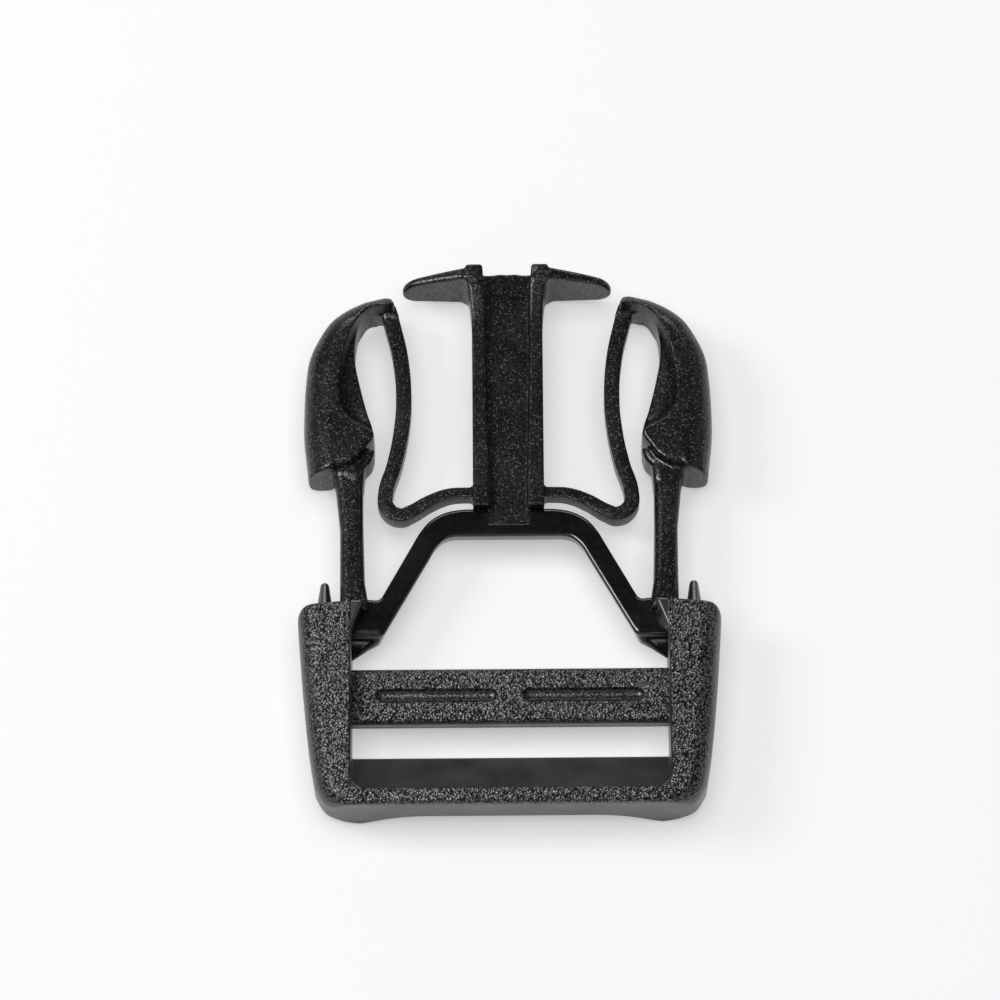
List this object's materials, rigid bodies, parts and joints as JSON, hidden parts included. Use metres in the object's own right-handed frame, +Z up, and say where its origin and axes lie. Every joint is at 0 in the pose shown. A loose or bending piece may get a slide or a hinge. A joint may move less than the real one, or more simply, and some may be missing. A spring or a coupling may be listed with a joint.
{
  "type": "side release buckle plug",
  "caption": "Plug half of a side-release buckle for webbing, with flexing latch prongs, a centre guide post and a strap adjuster frame with a slider bar.",
  "frame": {"origin": "under the middle of the overall box, on the face that it lies on", "axes": "+X to the right across the webbing, +Y from the rear bar to the nose, +Z up through the thickness"},
  "size_m": [0.0354, 0.0476, 0.0062],
  "materials": {
    "grained_acetal": "black acetal with a pebbled mould grain",
    "fine_grain_acetal": "black acetal with a fine sparkling mould grain",
    "smooth_acetal": "black acetal, smooth and glossy"
  },
  "bodies": {
    "root": {"rear_bar": "grained_acetal", "slider_bar": "grained_acetal", "yoke_bridge": "smooth_acetal", "post_web": "fine_grain_acetal", "left_side_rail": "grained_acetal", "right_side_rail": "grained_acetal", "left_yoke_leg": "smooth_acetal", "right_yoke_leg": "smooth_acetal", "left_yoke_gusset": "smooth_acetal", "right_yoke_gusset": "smooth_acetal", "left_post_flange": "fine_grain_acetal", "right_post_flange": "fine_grain_acetal", "left_nose_wing": "fine_grain_acetal", "right_nose_wing": "fine_grain_acetal", "left_nib": "fine_grain_acetal", "right_nib": "fine_grain_acetal"},
    "left_prong": {"left_arm": "fine_grain_acetal", "left_latch_head": "fine_grain_acetal"},
    "left_long_limb": {"left_spring_long_limb": "fine_grain_acetal"},
    "left_short_limb": {"left_spring_short_limb": "fine_grain_acetal"},
    "right_prong": {"right_arm": "fine_grain_acetal", "right_latch_head": "fine_grain_acetal"},
    "right_long_limb": {"right_spring_long_limb": "fine_grain_acetal"},
    "right_short_limb": {"right_spring_short_limb": "fine_grain_acetal"}
  },
  "joints": [
    {"name": "left_squeeze", "type": "hinge", "parent": "root", "child": "left_prong", "pos_m": [-0.0131, -0.0061, 0.0031], "axis": [0, 0, -1], "range_deg": [0, 7], "stiffness_Nm_per_rad": 0.6},
    {"name": "left_tip_flex", "type": "hinge", "parent": "left_prong", "child": "left_long_limb", "pos_m": [-0.00975, 0.0194, 0.0031], "axis": [0, 0, -1], "range_deg": [0, 2.78]},
    {"name": "left_bend_flex", "type": "hinge", "parent": "left_long_limb", "child": "left_short_limb", "pos_m": [-0.00911, 0.00205, 0.0031], "axis": [0, 0, -1], "range_deg": [-14.71, 0]},
    {"name": "right_squeeze", "type": "hinge", "parent": "root", "child": "right_prong", "pos_m": [0.0131, -0.0061, 0.0031], "axis": [0, 0, 1], "range_deg": [0, 7], "stiffness_Nm_per_rad": 0.6},
    {"name": "right_tip_flex", "type": "hinge", "parent": "right_prong", "child": "right_long_limb", "pos_m": [0.00975, 0.0194, 0.0031], "axis": [0, 0, 1], "range_deg": [0, 2.78]},
    {"name": "right_bend_flex", "type": "hinge", "parent": "right_long_limb", "child": "right_short_limb", "pos_m": [0.00911, 0.00205, 0.0031], "axis": [0, 0, 1], "range_deg": [-14.71, 0]}
  ],
  "couplings": [
    {"joint": "left_tip_flex", "follows": "left_squeeze", "ratio": 0.38972},
    {"joint": "left_bend_flex", "follows": "left_squeeze", "ratio": -2.0945},
    {"joint": "right_tip_flex", "follows": "right_squeeze", "ratio": 0.38972},
    {"joint": "right_bend_flex", "follows": "right_squeeze", "ratio": -2.0945}
  ]
}
